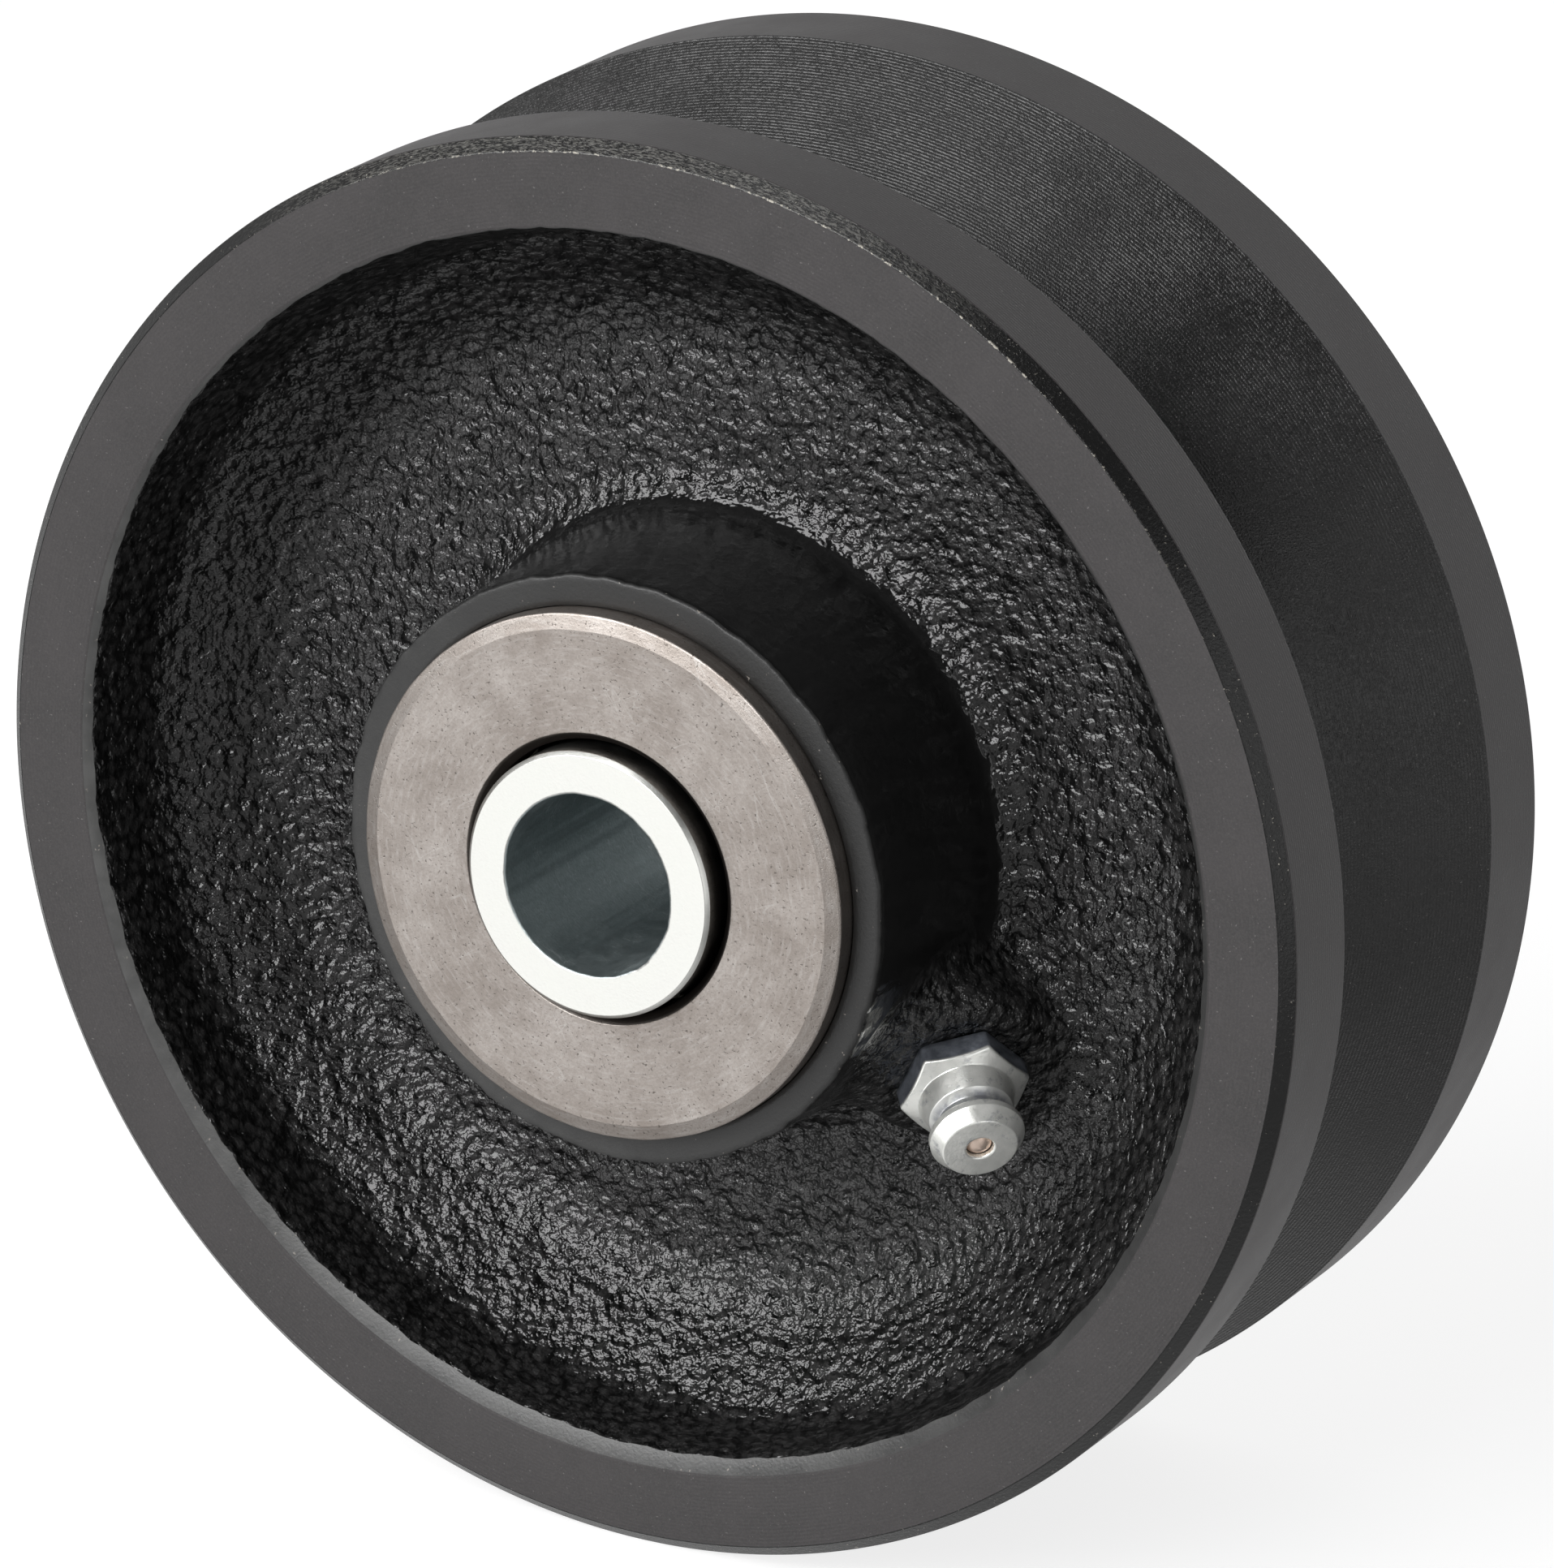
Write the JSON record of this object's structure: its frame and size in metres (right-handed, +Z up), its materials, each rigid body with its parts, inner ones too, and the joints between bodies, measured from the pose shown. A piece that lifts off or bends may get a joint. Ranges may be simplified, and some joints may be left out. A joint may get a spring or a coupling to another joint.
{
  "type": "gate wheel",
  "caption": "Cast-iron V-groove track wheel with caged roller bearing, retaining washers, spanner bushing and angled grease fitting.",
  "frame": {"origin": "centre of the wheel, on its axle line, half-way between the two side faces of the rim", "axes": "+Y along the axle towards the back, so the face with the grease fitting looks along -Y; +Z up"},
  "size_m": [0.1016, 0.0486, 0.1016],
  "materials": {
    "cast_paint": "black paint, glossy and rough as cast in the recesses, satin over turned rim and groove",
    "washer_steel": "bare turned steel with fine scratches",
    "zinc": "bright zinc plate",
    "bearing_steel": "ground steel",
    "cage_steel": "phosphated steel",
    "copper": "copper-washed steel ball"
  },
  "bodies": {
    "bushing": {"spanner_bushing": "zinc"},
    "wheel": {"wheel_casting": "cast_paint", "front_retaining_washer": "washer_steel", "rear_retaining_washer": "washer_steel", "grease_fitting": "zinc"},
    "cage": {"cage_front_ring": "cage_steel", "cage_rear_ring": "cage_steel", "cage_bar_1": "cage_steel", "cage_bar_2": "cage_steel", "cage_bar_3": "cage_steel", "cage_bar_4": "cage_steel", "cage_bar_5": "cage_steel", "cage_bar_6": "cage_steel", "cage_bar_7": "cage_steel", "cage_bar_8": "cage_steel", "cage_bar_9": "cage_steel", "cage_bar_10": "cage_steel"},
    "check_valve": {"check_ball": "copper", "check_spring": "bearing_steel"},
    "roller_1_body": {"roller_1": "bearing_steel"},
    "roller_2_body": {"roller_2": "bearing_steel"},
    "roller_3_body": {"roller_3": "bearing_steel"},
    "roller_4_body": {"roller_4": "bearing_steel"},
    "roller_5_body": {"roller_5": "bearing_steel"},
    "roller_6_body": {"roller_6": "bearing_steel"},
    "roller_7_body": {"roller_7": "bearing_steel"},
    "roller_8_body": {"roller_8": "bearing_steel"},
    "roller_9_body": {"roller_9": "bearing_steel"},
    "roller_10_body": {"roller_10": "bearing_steel"}
  },
  "joints": [
    {"name": "wheel_spin", "type": "hinge", "parent": "bushing", "child": "wheel", "pos_m": [0, 0, 0], "axis": [0, 1, 0], "continuous": true},
    {"name": "cage_spin", "type": "hinge", "parent": "bushing", "child": "cage", "pos_m": [0, 0, 0], "axis": [0, 1, 0], "continuous": true},
    {"name": "roller_1_spin", "type": "hinge", "parent": "cage", "child": "roller_1_body", "pos_m": [0.00995, 0, -0.00723], "axis": [0, 1, 0], "continuous": true},
    {"name": "roller_2_spin", "type": "hinge", "parent": "cage", "child": "roller_2_body", "pos_m": [0.0038, 0, -0.0117], "axis": [0, 1, 0], "continuous": true},
    {"name": "roller_3_spin", "type": "hinge", "parent": "cage", "child": "roller_3_body", "pos_m": [-0.0038, 0, -0.0117], "axis": [0, 1, 0], "continuous": true},
    {"name": "roller_4_spin", "type": "hinge", "parent": "cage", "child": "roller_4_body", "pos_m": [-0.00995, 0, -0.00723], "axis": [0, 1, 0], "continuous": true},
    {"name": "roller_5_spin", "type": "hinge", "parent": "cage", "child": "roller_5_body", "pos_m": [-0.0123, 0, 0], "axis": [0, 1, 0], "continuous": true},
    {"name": "roller_6_spin", "type": "hinge", "parent": "cage", "child": "roller_6_body", "pos_m": [-0.00995, 0, 0.00723], "axis": [0, 1, 0], "continuous": true},
    {"name": "roller_7_spin", "type": "hinge", "parent": "cage", "child": "roller_7_body", "pos_m": [-0.0038, 0, 0.0117], "axis": [0, 1, 0], "continuous": true},
    {"name": "roller_8_spin", "type": "hinge", "parent": "cage", "child": "roller_8_body", "pos_m": [0.0038, 0, 0.0117], "axis": [0, 1, 0], "continuous": true},
    {"name": "roller_9_spin", "type": "hinge", "parent": "cage", "child": "roller_9_body", "pos_m": [0.00995, 0, 0.00723], "axis": [0, 1, 0], "continuous": true},
    {"name": "roller_10_spin", "type": "hinge", "parent": "cage", "child": "roller_10_body", "pos_m": [0.0123, 0, 0], "axis": [0, 1, 0], "continuous": true},
    {"name": "check_ball_slide", "type": "slide", "parent": "wheel", "child": "check_valve", "axis": [-0.6027, 0.682, 0.4142], "range_m": [0, 0.0006], "stiffness_N_per_m": 150, "springref_m": -0.0004}
  ],
  "couplings": [
    {"joint": "cage_spin", "follows": "wheel_spin", "ratio": 0.6129},
    {"joint": "roller_1_spin", "follows": "wheel_spin", "ratio": 2.1018},
    {"joint": "roller_2_spin", "follows": "wheel_spin", "ratio": 2.1018},
    {"joint": "roller_3_spin", "follows": "wheel_spin", "ratio": 2.1018},
    {"joint": "roller_4_spin", "follows": "wheel_spin", "ratio": 2.1018},
    {"joint": "roller_5_spin", "follows": "wheel_spin", "ratio": 2.1018},
    {"joint": "roller_6_spin", "follows": "wheel_spin", "ratio": 2.1018},
    {"joint": "roller_7_spin", "follows": "wheel_spin", "ratio": 2.1018},
    {"joint": "roller_8_spin", "follows": "wheel_spin", "ratio": 2.1018},
    {"joint": "roller_9_spin", "follows": "wheel_spin", "ratio": 2.1018},
    {"joint": "roller_10_spin", "follows": "wheel_spin", "ratio": 2.1018}
  ]
}
